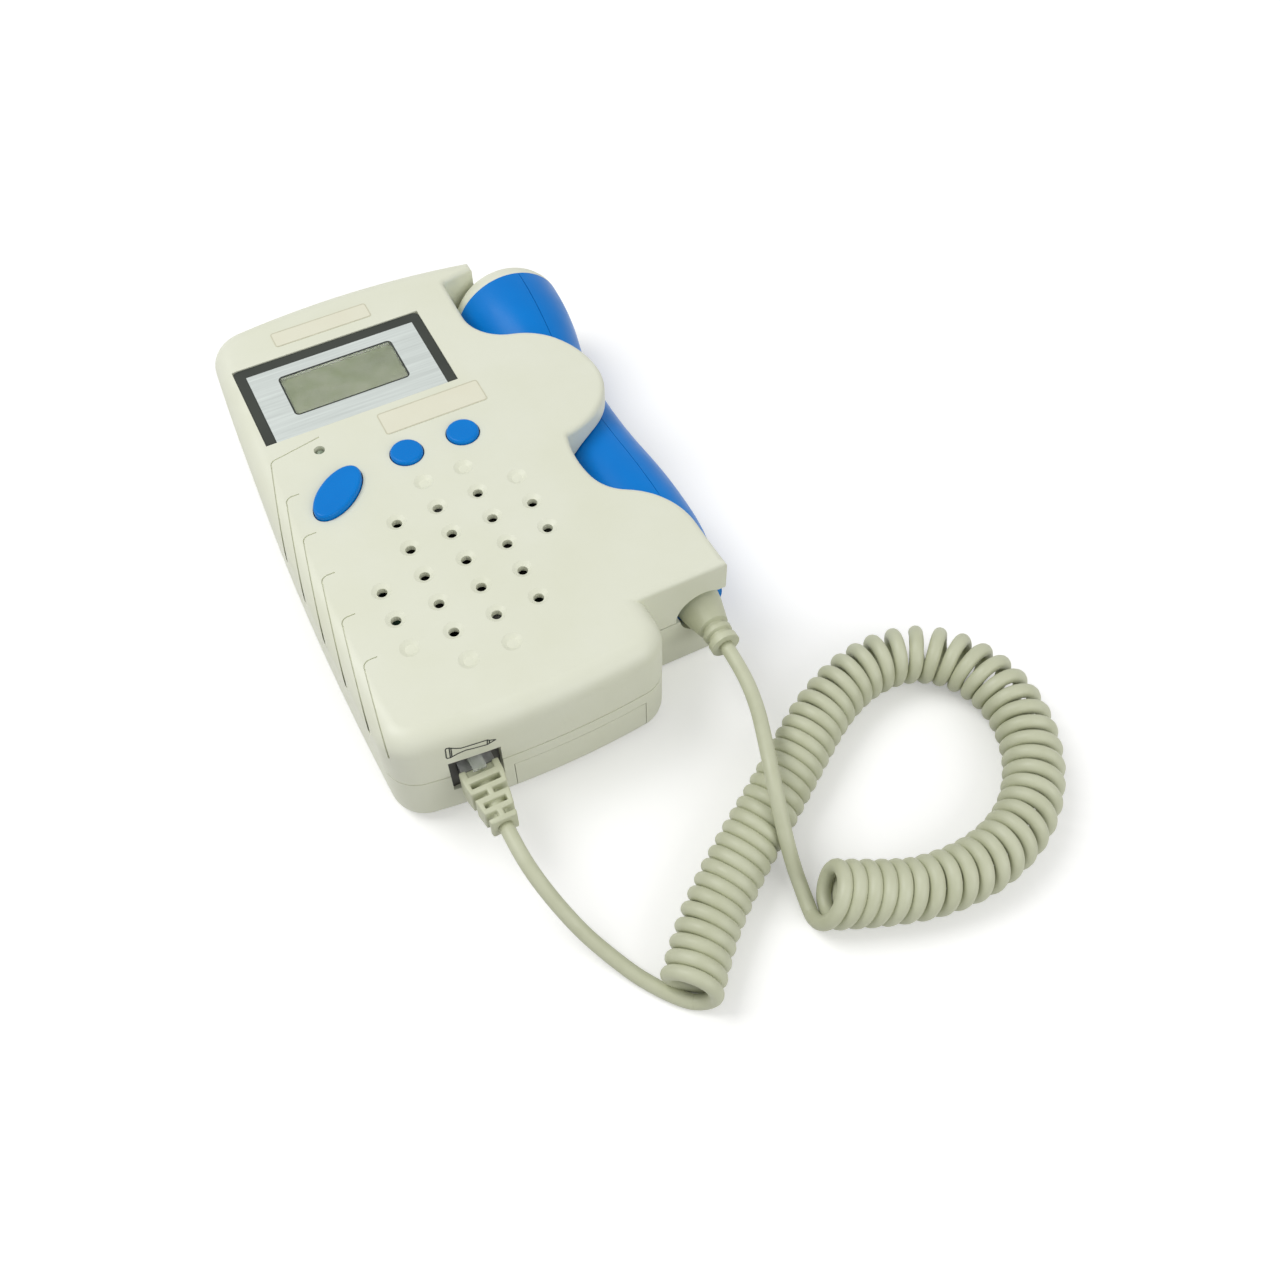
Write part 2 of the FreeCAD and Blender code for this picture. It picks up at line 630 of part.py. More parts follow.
def build_display():
    floor = "case_thickness - pocket_depth"
    outer = box("bezel_outer", "bezel_left", "bezel_near", floor, "bezel_right - bezel_left",
                "bezel_far - bezel_near", "bezel_thick")
    inner = box("bezel_inner", "bezel_left + bezel_side", "bezel_near - 1", floor + " - 1",
                "bezel_right - bezel_left - 2 * bezel_side", "bezel_far - bezel_near - bezel_top + 1",
                "bezel_thick + 2")
    node(cut("bezel", outer, inner), "display_bezel")
    panel = box("overlay_panel", "bezel_left + bezel_side + fit_gap", "bezel_near", floor,
                "bezel_right - bezel_left - 2 * bezel_side - 2 * fit_gap",
                "bezel_far - bezel_near - bezel_top - fit_gap", "overlay_thick")
    sight = box("overlay_sight", "window_left", "window_near", floor + " - 1", "window_right - window_left",
                "window_far - window_near", "overlay_thick + 2")
    node(cut("overlay", panel, sight), "display_overlay")
    lens = box("lens", "window_left + fit_gap", "window_near + fit_gap", floor + " + 0.2",
               "window_right - window_left - 2 * fit_gap", "window_far - window_near - 2 * fit_gap", "lens_thick")
    node(lens, "lcd_window")
    glass = box("glass", "window_left - glass_margin", "window_near - glass_margin", floor + " - glass_thick",
                "window_right - window_left + 2 * glass_margin",
                "window_far - window_near + 2 * glass_margin", "glass_thick")
    node(glass, "lcd_glass")
    board_top = "board_under + board_thick"
    stand = floor + " - glass_thick - board_under - board_thick"
    frame = box("holder_outer", "window_left - glass_margin - 1", "window_near - glass_margin - 1", board_top,
                "window_right - window_left + 2 * glass_margin + 2",
                "window_far - window_near + 2 * glass_margin + 2", stand)
    hollow = box("holder_inner", "window_left", "window_near - glass_margin + 0.6", board_top + " - 1",
                 "window_right - window_left", "window_far - window_near + 2 * glass_margin - 1.2", stand + " + 2")
    node(cut("holder", frame, hollow), "lcd_holder")
    strips = [box("zebra_near", "window_left + 1", "window_near - glass_margin + 0.9", board_top,
                  "window_right - window_left - 2", "2", stand),
              box("zebra_far", "window_left + 1", "window_far + glass_margin - 2.9", board_top,
                  "window_right - window_left - 2", "2", stand)]
    node(fuse("zebras", *strips), "zebra_strips")


# ---------------------------------------------------------------- board

def screw(radius, head_radius, head_height, length, seat):
    """A screw pointing up, its head's upper face at the seat."""
    head = pin(head_radius, seat - UP * head_height, UP, head_height)
    return head.fuse(pin(radius, seat, UP, length))


def build_board():
    board = block(dim.board_left, dim.board_right, dim.board_near, dim.board_far, dim.board_under,
                  dim.board_under + dim.board_thick)
    seats = [spot + UP * dim.board_under for spot in post_spots()]
    board = board.cut([pin(dim.board_screw_radius + 0.2, seat - UP, UP, 4) for seat in seats])
    shaped("main_board", board)
    shaped("board_screws", Part.makeCompound([screw(dim.board_screw_radius, dim.board_screw_head,
           dim.board_screw_head_height, dim.board_screw_length, seat) for seat in seats]))
    chips = [box("processor", "board_left + 6", "8", "board_under - 1.2", "10", "10", "1.2"),
             box("amplifier", "board_left + 8", "board_near + 30", "board_under - 1.5", "5", "4", "1.5"),
             box("receiver", "board_right - 14", "20", "board_under - 1.2", "7", "7", "1.2")]
    node(fuse("chips", *chips), "board_chips")
    shaped("case_screws", Part.makeCompound([screw(dim.screw_radius, dim.screw_head_radius,
           dim.screw_head_height, dim.screw_length, spot + UP * dim.screw_seat) for spot in screw_spots()]))
    led = rod("led_stem", "led_x", "led_y", "board_under + board_thick", "led_radius",
              "case_thickness - 0.6 - led_radius - board_under - board_thick")
    dome = doc.addObject("Part::Sphere", "led_dome")
    bind(dome, Radius="led_radius")
    place(dome, "led_x", "led_y", "case_thickness - 0.6 - led_radius")
    node(fuse("led", led, dome), "status_led")


# ---------------------------------------------------------------- buttons

def switch_top():
    return dim.board_under + dim.board_thick + dim.switch_height


def build_button(name, spot, rise):
    """A cap through the face, a flange behind it and a foot on the switch's plunger."""
    foot_z = switch_top() + dim.plunger_rise
    flange_top = dim.case_thickness - dim.wall - 0.1
    flange_low = flange_top - dim.flange_thick
    top = dim.case_thickness + rise
    cap = button_prism(name, spot, 0, flange_low, top)
    cap = cap.makeFillet(dim.button_round, rim(cap, top))
    flange = button_prism(name, spot, dim.button_flange, flange_low, flange_top)
    foot = pin(dim.plunger_radius + 0.5, spot + UP * foot_z, UP, flange_low - foot_z + 0.2)
    shaped(name + "_button", cap.fuse([flange, foot]).removeSplitter())
    plunger_low = switch_top() - dim.plunger_sunk
    shaped(name + "_plunger", pin(dim.plunger_radius, spot + UP * plunger_low, UP, foot_z - plunger_low))


def build_buttons():
    rises = {"power": dim.power_rise, "volume_down": dim.volume_rise, "volume_up": dim.volume_rise}
    bodies = []
    board_top = dim.board_under + dim.board_thick
    half = dim.switch_side / 2
    well = dim.plunger_sunk + dim.button_travel + 0.2
    for name, spot in button_spots():
        build_button(name, spot, rises[name])
        case = block(spot.x - half, spot.x + half, spot.y - half, spot.y + half, board_top, switch_top())
        bodies.append(case.cut(pin(dim.plunger_radius + 0.1, spot + UP * (switch_top() - well), UP, well + 1)))
    shaped("tact_switches", Part.makeCompound(bodies))


# ---------------------------------------------------------------- speaker

def ring_section(points):
    """Straight edges round a closed section given as (radius, height)."""
    corners = [Vector(dim.speaker_x + radius, dim.speaker_y, height) for radius, height in points]
    return outline(corners)


def build_speaker():
    centre = Vector(dim.speaker_x, dim.speaker_y, 0)
    outer = dim.speaker_radius
    top = dim.speaker_top
    low = dim.board_under + dim.board_thick + 0.2 + dim.magnet_height
    basket = ((outer, top - 1.4), (outer, top), (outer - 2, top), (outer - 2, top - 0.8),
              (dim.magnet_radius + 1, low + 0.6), (0.01, low + 0.6), (0.01, low), (dim.magnet_radius + 1.2, low))
    shaped("speaker_frame", lathe(ring_section(basket), centre, UP))
    cone = ((outer - 2.1, top - 0.6), (outer - 2.1, top - 0.1), (4.5, low + 1.9), (0.01, low + 2.4),
            (0.01, low + 2), (4.7, low + 1.4))
    shaped("speaker_cone", lathe(ring_section(cone), centre, UP))
    magnet = rod("magnet", "speaker_x", "speaker_y", "board_under + board_thick + 0.2", "magnet_radius",
                 "magnet_height")
    node(magnet, "speaker_magnet")
    pad = rod("gasket_outer", "speaker_x", "speaker_y", "speaker_top", "speaker_radius",
              "case_thickness - wall - speaker_top")
    hole = rod("gasket_inner", "speaker_x", "speaker_y", "speaker_top - 1", "speaker_radius - 2.5", "wall + 2")
    node(cut("gasket", pad, hole), "speaker_gasket")


# ---------------------------------------------------------------- batteries

def cell_x(side):
    """The x of a cell's axis; side is -1 for the left one."""
    return (dim.bay_left + dim.bay_right) / 2 + side * (dim.cell_radius + dim.cell_gap)


def build_batteries():
    near = dim.bay_near + dim.contact_thick
    far = bay_far() - dim.contact_thick
    cells = []
    springs = []
    for side in (-1, 1):
        x = cell_x(side)
        flat_y = near + dim.spring_length if side < 0 else far - dim.spring_length
        start = Vector(x, flat_y, cell_height())
        direction = ALONG * -side
        can = pin(dim.cell_radius, start, direction, dim.cell_length)
        cells.append(can.fuse(pin(dim.cell_nub_radius, start, direction, dim.cell_length + dim.cell_nub)))
        springs.append(battery_spring(start - direction * dim.spring_length, direction))
    shaped("aa_batteries", Part.makeCompound(cells))
    shaped("battery_springs", Part.makeCompound(springs))
    half = dim.cell_radius - 1
    plates = []
    for side in (-1, 1):
        x = cell_x(side)
        plates.append(block(x - half, x + half, dim.bay_near, near, cell_height() - half, cell_height() + half))
    plates.append(block(cell_x(-1) - half, cell_x(1) + half, far, bay_far(), cell_height() - half,
                        cell_height() + half))
    shaped("battery_contacts", Part.makeCompound(plates))


def battery_spring(seat, direction):
    """A bent leaf of spring sheet that bears on the contact and presses on the cell."""
    thick = dim.contact_thick
    half = dim.cell_nub_radius + 1.5
    reach = dim.spring_length - thick
    side = ((-half, 0), (-half, thick), (0, reach + thick), (half, thick), (half, 0), (half - 1, 0), (0, reach),
            (1 - half, 0))
    corners = [seat + direction * (out * 0.98) + ACROSS * -dim.cell_nub_radius + UP * rise for rise, out in side]
    return Part.Face(Part.Wire(outline(corners))).extrude(ACROSS * 2 * dim.cell_nub_radius)


# ---------------------------------------------------------------- probe

def probe_half(turn):
    """One half of the blue handle, from the seam round to the seam again."""
    centre = Vector(dim.probe_x, 0, dim.probe_z)
    outer = probe_profile()
    floor_y = dim.tail_y + dim.probe_wall
    hole = dim.probe_x + dim.relief_spigot + dim.fit_gap
    corners = [point - ACROSS * dim.probe_wall for point in reversed(outer[1:])]
    corners += [Vector(outer[0].x - dim.probe_wall, floor_y, dim.probe_z), Vector(hole, floor_y, dim.probe_z),
                Vector(hole, dim.tail_y, dim.probe_z), outer[0]]
    edges = probe_curve() + [line(start, end) for start, end in zip([outer[-1]] + corners, corners)]
    half = Part.Face(Part.Wire(edges))
    gap = math.degrees(dim.seam_gap / 2 / dim.head_radius)
    half.rotate(centre, ALONG, turn + gap)
    return half.revolve(centre, ALONG, 180 - 2 * gap)


def build_probe():
    centre = Vector(dim.probe_x, 0, dim.probe_z)
    seam = dim.seam_roll - 90
    shaped("probe_right_shell", probe_half(seam))
    shaped("probe_left_shell", probe_half(seam + 180))
    start = cap_arc().Vertexes[0].Point
    end = cap_arc().Vertexes[1].Point
    hollow = dim.head_radius - dim.probe_wall - 0.6
    face = dim.cap_end_y - 1.5
    seat = dim.cap_y
    corners = [end, Vector(dim.probe_x, dim.cap_end_y, dim.probe_z), Vector(dim.probe_x, face, dim.probe_z),
               Vector(dim.probe_x + dim.cap_face_radius, face, dim.probe_z),
               Vector(dim.probe_x + hollow, seat + 1, dim.probe_z), Vector(dim.probe_x + hollow, seat, dim.probe_z),
               start]
    edges = [cap_arc()] + [line(a, b) for a, b in zip(corners, corners[1:])]
    shaped("transducer_cap", lathe(edges, centre, ALONG))
    disc = pin(dim.crystal_radius, Vector(dim.probe_x, face - dim.crystal_thick, dim.probe_z), ALONG,
               dim.crystal_thick)
    slit = 0.4
    split = block(dim.probe_x - slit, dim.probe_x + slit, 0, LONG, -LONG, LONG)
    crystals = disc.cut(split)
    crystals.rotate(centre, ALONG, dim.seam_roll)
    shaped("piezo_crystals", crystals)
    backing = rod("backing", "probe_x", "cap_end_y - 1.5 - crystal_thick", "probe_z", "crystal_radius",
                  "cap_end_y - 1.5 - crystal_thick - cap_y + head_depth", Rotation(ACROSS, 90))
    node(backing, "acoustic_backing")
    board = block(-dim.probe_board_thick / 2, dim.probe_board_thick / 2, -dim.probe_board_length / 2,
                  dim.probe_board_length / 2, -dim.probe_board_width / 2, dim.probe_board_width / 2)
    board.rotate(Vector(), ALONG, dim.seam_roll)
    board.translate(Vector(dim.probe_x, dim.waist_y - 8, dim.probe_z))
    shaped("probe_board", board)
    shaped("probe_strain_relief", strain_relief())


def strain_relief():
    """A tapering boot with two flared rings at the cord's end."""
    top = dim.tail_y
    end = dim.relief_end_y
    neck = dim.relief_neck
    section = ((dim.relief_spigot, top + dim.probe_wall), (dim.relief_spigot, top), (dim.relief_radius, top),
               (dim.relief_radius - 0.4, top - 2.6), (neck + 0.7, end + 5.8), (neck - 0.2, end + 5.4),
               (neck - 0.2, end + 4.6), (neck + 0.5, end + 4.2), (neck + 0.4, end + 3.2), (neck - 0.3, end + 2.8),
               (neck - 0.3, end + 2), (neck + 0.5, end + 1.6), (neck + 0.5, end), (0, end), (0, top + dim.probe_wall))
    corners = [Vector(dim.probe_x + radius, y, dim.probe_z) for radius, y in section]
    return lathe(outline(corners), Vector(dim.probe_x, 0, dim.probe_z), ALONG)


# ---------------------------------------------------------------- jack and plug

def plug_block(grow, y_low, y_high):
    half = dim.plug_width / 2 + grow
    return block(dim.jack_x - half, dim.jack_x + half, y_low, y_high, dim.plug_bottom - grow,
                 dim.plug_bottom + dim.plug_height + grow)


def pin_xs():
    return [dim.jack_x + (index - 1.5) * dim.pin_pitch for index in range(4)]


def build_jack():
    half = dim.jack_width / 2
    housing = block(dim.jack_x - half, dim.jack_x + half, dim.jack_front, dim.jack_back, dim.jack_bottom,
                    dim.board_under - 0.1)
    gap = dim.plug_gap
    floor = dim.plug_bottom - 0.5
    room = plug_block(gap, dim.jack_front - 1, dim.plug_nose + gap)
    room = room.fuse(block(dim.jack_x - 3, dim.jack_x + 3, dim.jack_front - 1, dim.plug_nose + gap, floor,
                           dim.plug_bottom))
    latch_half = dim.latch_width / 2 + 2 * gap
    latch_high = dim.plug_bottom + dim.plug_height + dim.latch_rise + dim.latch_thick + gap
    room = room.fuse(block(dim.jack_x - latch_half, dim.jack_x + latch_half, dim.jack_front - 1,
                           dim.plug_nose + gap, dim.plug_bottom, latch_high))
    shaped("jack_housing", housing.cut(room))
    wires = [pin(dim.pin_radius, Vector(x, dim.jack_front + 2, floor + dim.pin_radius), ALONG, 8) for x in pin_xs()]
    shaped("jack_contacts", Part.makeCompound(wires))


def build_plug():
    body = plug_block(0, dim.plug_tail, dim.plug_nose)
    slots = [block(x - 0.22, x + 0.22, dim.plug_nose - 3.2, dim.plug_nose + 1, dim.plug_bottom - 1,
                   dim.plug_bottom + 1.5) for x in pin_xs()]
    shaped("plug_body", body.cut(slots))
    blades = [block(x - 0.2, x + 0.2, dim.plug_nose - 3.1, dim.plug_nose - 0.2, dim.plug_bottom + 0.1,
                    dim.plug_bottom + 1.5) for x in pin_xs()]
    shaped("plug_contacts", Part.makeCompound(blades))
    shaped("plug_latch", plug_latch())
    shaped("plug_boot", plug_boot())


def side_prism(side, width):
    """A solid with this outline, of points (y, z), centred on the plug."""
    corners = [Vector(dim.jack_x - width / 2, y, z) for y, z in side]
    return Part.Face(Part.Wire(outline(corners))).extrude(ACROSS * width)


def plug_latch():
    """A springy tongue that leaves the plug's nose and rises toward the boot."""
    top = dim.plug_bottom + dim.plug_height
    root = dim.plug_nose - 0.4
    bend = dim.jack_front + 2
    side = ((root, top + 0.05), (root, top + 0.05 + dim.latch_thick), (bend, top + dim.latch_rise + dim.latch_thick),
            (dim.latch_tail, top + dim.latch_rise + dim.latch_thick), (dim.latch_tail, top + dim.latch_rise),
            (bend, top + dim.latch_rise))
    return side_prism(side, dim.latch_width)


def cord_height():
    """The height of the cord where it leaves the plug's boot."""
    return dim.plug_bottom + dim.plug_height / 2


def boot_slots(start, step):
    """Slots that let the boot bend: in turn one between two side bridges, and two beside a middle one."""
    slots = []
    for index in range(int(dim.boot_slots)):
        y_high = start - 2 * index * step
        share = (start - y_high) / (start - dim.boot_end)
        half = (dim.boot_width + share * (dim.boot_end_width - dim.boot_width)) / 2
        if index % 2:
            spans = ((-half - 1, -dim.boot_bridge / 2), (dim.boot_bridge / 2, half + 1))
        else:
            spans = ((dim.boot_bridge - half, half - dim.boot_bridge),)
        slots += [block(dim.jack_x + low, dim.jack_x + high, y_high - step, y_high, 0, dim.case_thickness)
                  for low, high in spans]
    return slots


def plug_boot():
    """A collar on the plug, notched for the latch to sink into, then a tapering slotted neck round the cord."""
    z = cord_height()
    start = dim.plug_tail - dim.boot_collar
    end = dim.boot_end
    half = dim.boot_width / 2
    half_high = dim.boot_height / 2
    end_half = dim.boot_end_width / 2
    collar = block(dim.jack_x - half, dim.jack_x + half, start, dim.plug_tail, z - half_high, z + half_high)
    notch = block(dim.jack_x - dim.latch_width, dim.jack_x + dim.latch_width, dim.latch_tail - 2 * dim.plug_gap,
                  dim.plug_tail + 1, dim.plug_bottom + dim.plug_height - dim.plug_gap, z + dim.boot_height)
    corners = [Vector(dim.jack_x + across, along, 0)
               for across, along in ((-half, start), (half, start), (end_half, end), (-end_half, end))]
    neck = prism(outline(corners), 0, dim.case_thickness)
    neck = neck.common(side_prism(((start, z - half_high), (start, z + half_high), (end, z + end_half),
                                   (end, z - end_half)), dim.boot_width))
    neck = neck.cut(boot_slots(start, (start - end) / (2 * dim.boot_slots)))
    core = pin(dim.cord_diameter / 2 + dim.boot_core, Vector(dim.jack_x, end, z), ALONG, start - end)
    return collar.cut(notch).fuse([neck, core]).removeSplitter()


# ---------------------------------------------------------------- cord

PROBE_LEAD = ((45.5, -68.5, 16.5), (45.5, -75.5, 16.5), (43.6, -85.5, 17.6), (40.2, -95, 18.8), (36.6, -105, 18.8),
              (34.5, -114, 14.2), (33.3, -121.5, 8.2), (33.2, -126.3, 4.4), (33.9, -129.6, 2.2))
COIL = ((3.4, -131.4), (9.7, -124.2), (18, -117.2), (28, -110), (39, -102.9), (50.5, -95.7), (61.5, -89.4),
        (73, -85.3), (84, -85.6), (92.6, -90.8), (97.6, -100), (97.8, -111), (93.3, -122.4), (84.6, -131.8),
        (73, -136.4), (61, -136.5), (49.5, -133.6), (36.4, -127.2))
PLUG_LEAD = ((-16.8, -86.8, 15.7), (-16.8, -93.6, 15.7), (-15.8, -100.2, 14), (-13.8, -106.4, 10.4),
             (-11.1, -112.2, 5.9), (-7.9, -117.7, 2.7), (-5.2, -122.9, 1.7), (-2.6, -128.2, 1.66),
             (0.6, -132.3, 1.68))


def cord_path(route):
    """Straight runs joined by tangent arcs, each as large as its two runs allow."""
    points = [Vector(*point) for point in route]
    edges = []
    radii = []
    start = points[0]
    for before, corner, after in zip(points, points[1:], points[2:]):
        back = before - corner
        ahead = after - corner
        turn = math.pi - back.getAngle(ahead)
        reach = 0.45 * min(back.Length, ahead.Length)
        radii.append(reach / math.tan(turn / 2))
        back.normalize()
        ahead.normalize()
        arc_start = corner + back * reach
        arc_end = corner + ahead * reach
        chord_mid = (arc_start + arc_end) * 0.5
        inward = chord_mid - corner
        depth = radii[-1] * (1 / math.cos(turn / 2) - 1)
        inward.normalize()
        edges.append(Part.LineSegment(start, arc_start).toShape())
        edges.append(Part.Arc(arc_start, corner + inward * depth, arc_end).toShape())
        start = arc_end
    edges.append(Part.LineSegment(start, points[-1]).toShape())
    return Part.Wire(edges), radii


def tube(label, route, diameter):
    path, radii = cord_path(route)
    first = path.Edges[0]
    section = Part.Wire(Part.Circle(first.valueAt(first.FirstParameter), first.tangentAt(first.FirstParameter),
                                    diameter / 2).toShape())
    solid = path.makePipeShell([section], True, False)
    expected = math.pi * diameter ** 2 / 4 * path.Length
    print("%s: length %.1f, volume ratio %.4f, radii %s"
          % (label, path.Length, solid.Volume / expected, " ".join("%.0f" % radius for radius in radii)))
    return shaped(label, solid)


def build_cord():
    coil_height = dim.coil_diameter / 2
    tube("probe_lead", PROBE_LEAD, dim.cord_diameter)
    tube("curly_coil", [(x, y, coil_height) for x, y in COIL], dim.coil_diameter)
    tube("plug_lead", PLUG_LEAD, dim.cord_diameter)


# ---------------------------------------------------------------- build, check and write

build_casing()
build_display()
build_board()
build_buttons()
build_speaker()
build_batteries()
build_probe()
build_jack()
build_plug()
build_cord()
doc.recompute()

for item in doc.Objects:
    if "Invalid" in item.State or "Error" in item.State:
        raise RuntimeError("%s did not recompute: %s" % (item.Name, item.State))
for item in nodes:
    if item.Shape.isNull() or not item.Shape.isValid():
        raise RuntimeError("%s has no valid shape" % item.Label)

os.makedirs("parts", exist_ok=True)
for item in nodes:
    item.Shape.exportStep("parts/%s.step" % item.Label)
    print("%-22s %2d solid(s) %10.1f mm3" % (item.Label, len(item.Shape.Solids), item.Shape.Volume))
print(len(nodes), "nodes")
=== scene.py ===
"""Looks of a pocket fetal doppler: ivory casing, blue probe in its side, curly lead on the table.

The frame is the CAD part's. Blender works in metres, and MM turns the part's millimetres into them.
"""
import json
import math

import bmesh
import bpy
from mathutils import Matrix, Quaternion, Vector


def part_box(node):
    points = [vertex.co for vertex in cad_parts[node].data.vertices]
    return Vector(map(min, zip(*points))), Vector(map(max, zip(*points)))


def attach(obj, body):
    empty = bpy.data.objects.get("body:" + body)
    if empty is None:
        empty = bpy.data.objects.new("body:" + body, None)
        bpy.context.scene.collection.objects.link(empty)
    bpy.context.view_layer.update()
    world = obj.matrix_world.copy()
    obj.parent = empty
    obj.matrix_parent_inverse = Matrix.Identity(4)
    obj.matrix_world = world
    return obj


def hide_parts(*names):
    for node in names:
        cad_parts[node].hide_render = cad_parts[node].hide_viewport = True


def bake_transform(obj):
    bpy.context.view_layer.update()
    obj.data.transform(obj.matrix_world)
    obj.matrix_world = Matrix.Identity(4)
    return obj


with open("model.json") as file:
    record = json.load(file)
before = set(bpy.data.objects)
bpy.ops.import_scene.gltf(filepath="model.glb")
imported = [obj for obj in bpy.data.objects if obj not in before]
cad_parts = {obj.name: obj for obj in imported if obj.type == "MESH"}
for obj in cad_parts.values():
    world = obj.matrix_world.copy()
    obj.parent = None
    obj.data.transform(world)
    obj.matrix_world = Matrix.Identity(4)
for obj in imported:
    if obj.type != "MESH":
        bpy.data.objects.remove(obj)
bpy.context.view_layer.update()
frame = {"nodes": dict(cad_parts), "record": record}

MM = 0.001
UP = Vector((0, 0, 1))
WHITE = (1, 1, 1, 1)

SLOTS = {row["node"]: row["material_slot"] for row in frame["record"]["subparts"]}


def metres(points):
    return [Vector(point) * MM for point in points]


def box_mm(node):
    """The lowest and the highest corner of a CAD node, in mm."""
    return [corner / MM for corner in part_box(node)]


def scene_object(name, data):
    thing = bpy.data.objects.new(name, data)
    bpy.context.scene.collection.objects.link(thing)
    return thing


# ---------------------------------------------------------------- the cord's sizes and routes, in mm

CORD_DIAMETER = 3.3
COIL_DIAMETER = 13.7
RING_RADIUS = (COIL_DIAMETER - CORD_DIAMETER) / 2

# The part's routes, with points moved about 2 mm and the leads' last points set to meet the helix.
PROBE_LEAD = (
    (45.5, -68.5, 16.5), (45.5, -75.5, 16.5), (43.6, -85.5, 17.6), (40.2, -95, 18.8),
    (36.6, -105, 18.8), (34.8, -113, 13), (34.5, -117.6, 7.4), (34.6, -121.3, 3.2),
)
COIL = (
    (2, -133), (9.7, -124.2), (18, -117.2), (28, -110), (39, -102.9), (50.3, -95),
    (60.9, -87.9), (72.4, -83.4), (84.4, -83.5), (93.8, -89.5), (98.8, -99.8), (98.8, -111),
    (94, -122.6), (84.9, -132), (73, -136.4), (61, -136.5), (49.5, -133.6), (36.4, -127.2),
)
PLUG_LEAD = (
    (-16.8, -86.8, 15.7), (-16.8, -93.6, 15.7), (-15.8, -100.2, 14), (-13.8, -106.4, 10.4),
    (-11.1, -112.2, 5.9), (-7.9, -117.7, 2.7), (-5.2, -122.9, 1.7), (-2.4, -127.4, 1.65),
    (-0.2, -130.4, 1.65),
)

# ---------------------------------------------------------------- camera and light, in metres

CAMERA_PLACE = Vector((-0.04734, -0.21340, 0.26455))
CAMERA_TARGET = Vector((0.03404, -0.04795, 0))
CAMERA_ROLL = -0.96
CAMERA_LENS = 37.52
CAMERA_SENSOR = 36

# Each lamp's name, place, width and power.
LAMPS = (
    ("key_lamp", Vector((-0.35, 0.25, 0.75)), 0.5, 3.5),
    ("fill_lamp", Vector((0.3, -0.7, 0.45)), 0.6, 2.1),
)
LAMP_TARGET = Vector((0.03, -0.03, 0.01))
WORLD_LIGHT = 0.45


def looking(place, target):
    """The turn of a camera or lamp that looks from one place to another."""
    return (target - place).to_track_quat("-Z", "Y")


def make_camera():
    data = bpy.data.cameras.new("camera")
    data.lens = CAMERA_LENS
    data.sensor_width = CAMERA_SENSOR
    camera = scene_object("camera", data)
    camera.location = CAMERA_PLACE
    camera.rotation_mode = "QUATERNION"
    roll = Quaternion((0, 0, 1), math.radians(CAMERA_ROLL))
    camera.rotation_quaternion = looking(CAMERA_PLACE, CAMERA_TARGET) @ roll
    bpy.context.scene.camera = camera


def make_lamp(name, place, width, power):
    """A square area lamp that looks at the middle of the object."""
    data = bpy.data.lights.new(name, "AREA")
    data.size = width
    data.energy = power
    lamp = scene_object(name, data)
    lamp.location = place
    lamp.rotation_mode = "QUATERNION"
    lamp.rotation_quaternion = looking(place, LAMP_TARGET)


def background(tree, strength):
    node = tree.nodes.new("ShaderNodeBackground")
    node.inputs["Color"].default_value = WHITE
    node.inputs["Strength"].default_value = strength
    return node.outputs["Background"]


def make_world():
    """White to the camera, in mirrors and through glass; a soft pale light elsewhere."""
    world = bpy.data.worlds.new("studio")
    bpy.context.scene.world = world
    world.use_nodes = True
    tree = world.node_tree
    tree.nodes.clear()
    output = tree.nodes.new("ShaderNodeOutputWorld")
    mix = tree.nodes.new("ShaderNodeMixShader")
    tree.links.new(seen_directly(tree), mix.inputs["Fac"])
    tree.links.new(background(tree, WORLD_LIGHT), mix.inputs[1])
    tree.links.new(background(tree, 1), mix.inputs[2])
    tree.links.new(mix.outputs["Shader"], output.inputs["Surface"])


# ---------------------------------------------------------------- material helpers

# Most of a noise texture's values lie in this range.
NOISE_RANGE = (0.3, 0.7)

# Each material by the name that it is made with, which Blender changes where the CAD model has one like it.
paints = {}


def srgb(code):
    """A web colour as the linear colour that a shader takes."""
    parts = [int(code[i:i + 2], 16) / 255 for i in (1, 3, 5)]
    linear = [part / 12.92 if part <= 0.04045 else ((part + 0.055) / 1.055) ** 2.4 for part in parts]
    return (*linear, 1)


def new_material(name):
    """Keeps a new material in paints, and gives its node tree and shader."""
    material = bpy.data.materials.new(name)
    material.use_nodes = True
    paints[name] = material
    return material.node_tree, material.node_tree.nodes["Principled BSDF"]


def object_place(tree):
    """The point of the object, in metres, that every pattern is made from."""
    return tree.nodes.new("ShaderNodeTexCoord").outputs["Object"]


def maths(tree, operation, first, second):
    node = tree.nodes.new("ShaderNodeMath")
    node.operation = operation
    tree.links.new(first, node.inputs[0])
    tree.links.new(second, node.inputs[1])
    return node.outputs["Value"]


def seen_directly(tree):
    """1 for camera, glossy and transmission rays, else 0."""
    path = tree.nodes.new("ShaderNodeLightPath")
    seen = path.outputs["Is Camera Ray"]
    for name in ("Is Glossy Ray", "Is Transmission Ray"):
        seen = maths(tree, "MAXIMUM", seen, path.outputs[name])
    return seen


def noise(tree, size_mm, detail, stretch=(1, 1, 1)):
    """Noise whose blotches are about this many millimetres across."""
    mapping = tree.nodes.new("ShaderNodeMapping")
    mapping.inputs["Scale"].default_value = stretch
    tree.links.new(object_place(tree), mapping.inputs["Vector"])
    texture = tree.nodes.new("ShaderNodeTexNoise")
    texture.inputs["Scale"].default_value = 1 / (size_mm * MM)
    texture.inputs["Detail"].default_value = detail
    tree.links.new(mapping.outputs["Vector"], texture.inputs["Vector"])
    return texture.outputs["Fac"]


